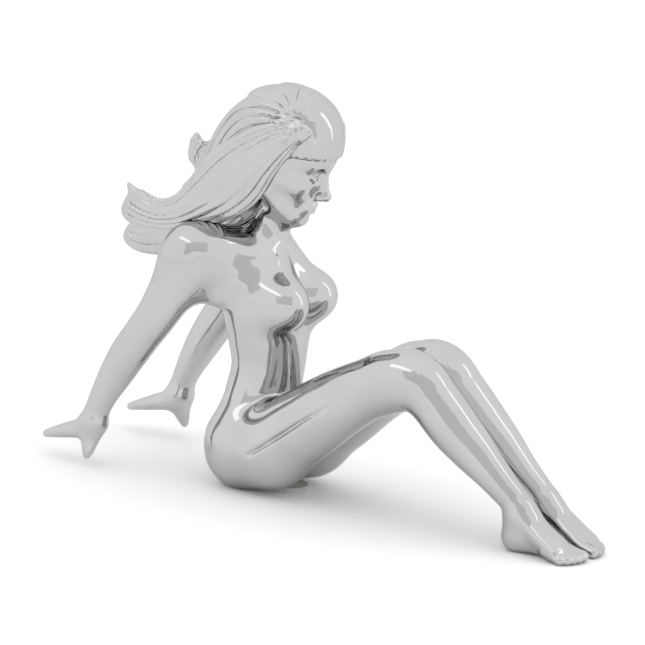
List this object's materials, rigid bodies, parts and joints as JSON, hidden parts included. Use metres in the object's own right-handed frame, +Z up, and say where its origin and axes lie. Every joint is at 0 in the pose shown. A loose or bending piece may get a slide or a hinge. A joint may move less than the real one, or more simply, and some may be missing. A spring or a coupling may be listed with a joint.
{
  "type": "hood ornament",
  "caption": "Chrome hood ornament of a seated figure leaning back on her arms with swept-back hair, with threaded inserts under the seat and heels.",
  "frame": {"origin": "mouth of the threaded hole under the seat, level with the gasket's underside, where the hood's surface is", "axes": "+X from the hands to the toes, +Y to the figure's left, +Z up from the hood"},
  "size_m": [0.1907, 0.0658, 0.1321],
  "materials": {
    "chrome": "mirror-polished chrome plate",
    "steel": "turned steel",
    "brass": "turned brass",
    "rubber": "matt moulded rubber"
  },
  "bodies": {
    "root": {"torso": "chrome", "head": "chrome", "hair": "chrome", "right_arm": "chrome", "left_arm": "chrome", "right_leg": "chrome", "left_leg": "chrome", "neck_dowel": "steel", "hair_dowel": "steel", "right_shoulder_dowel": "steel", "left_shoulder_dowel": "steel", "right_hip_dowel": "steel", "left_hip_dowel": "steel", "seat_insert": "brass", "right_heel_insert": "brass", "left_heel_insert": "brass", "seat_gasket": "rubber"}
  },
  "joints": []
}
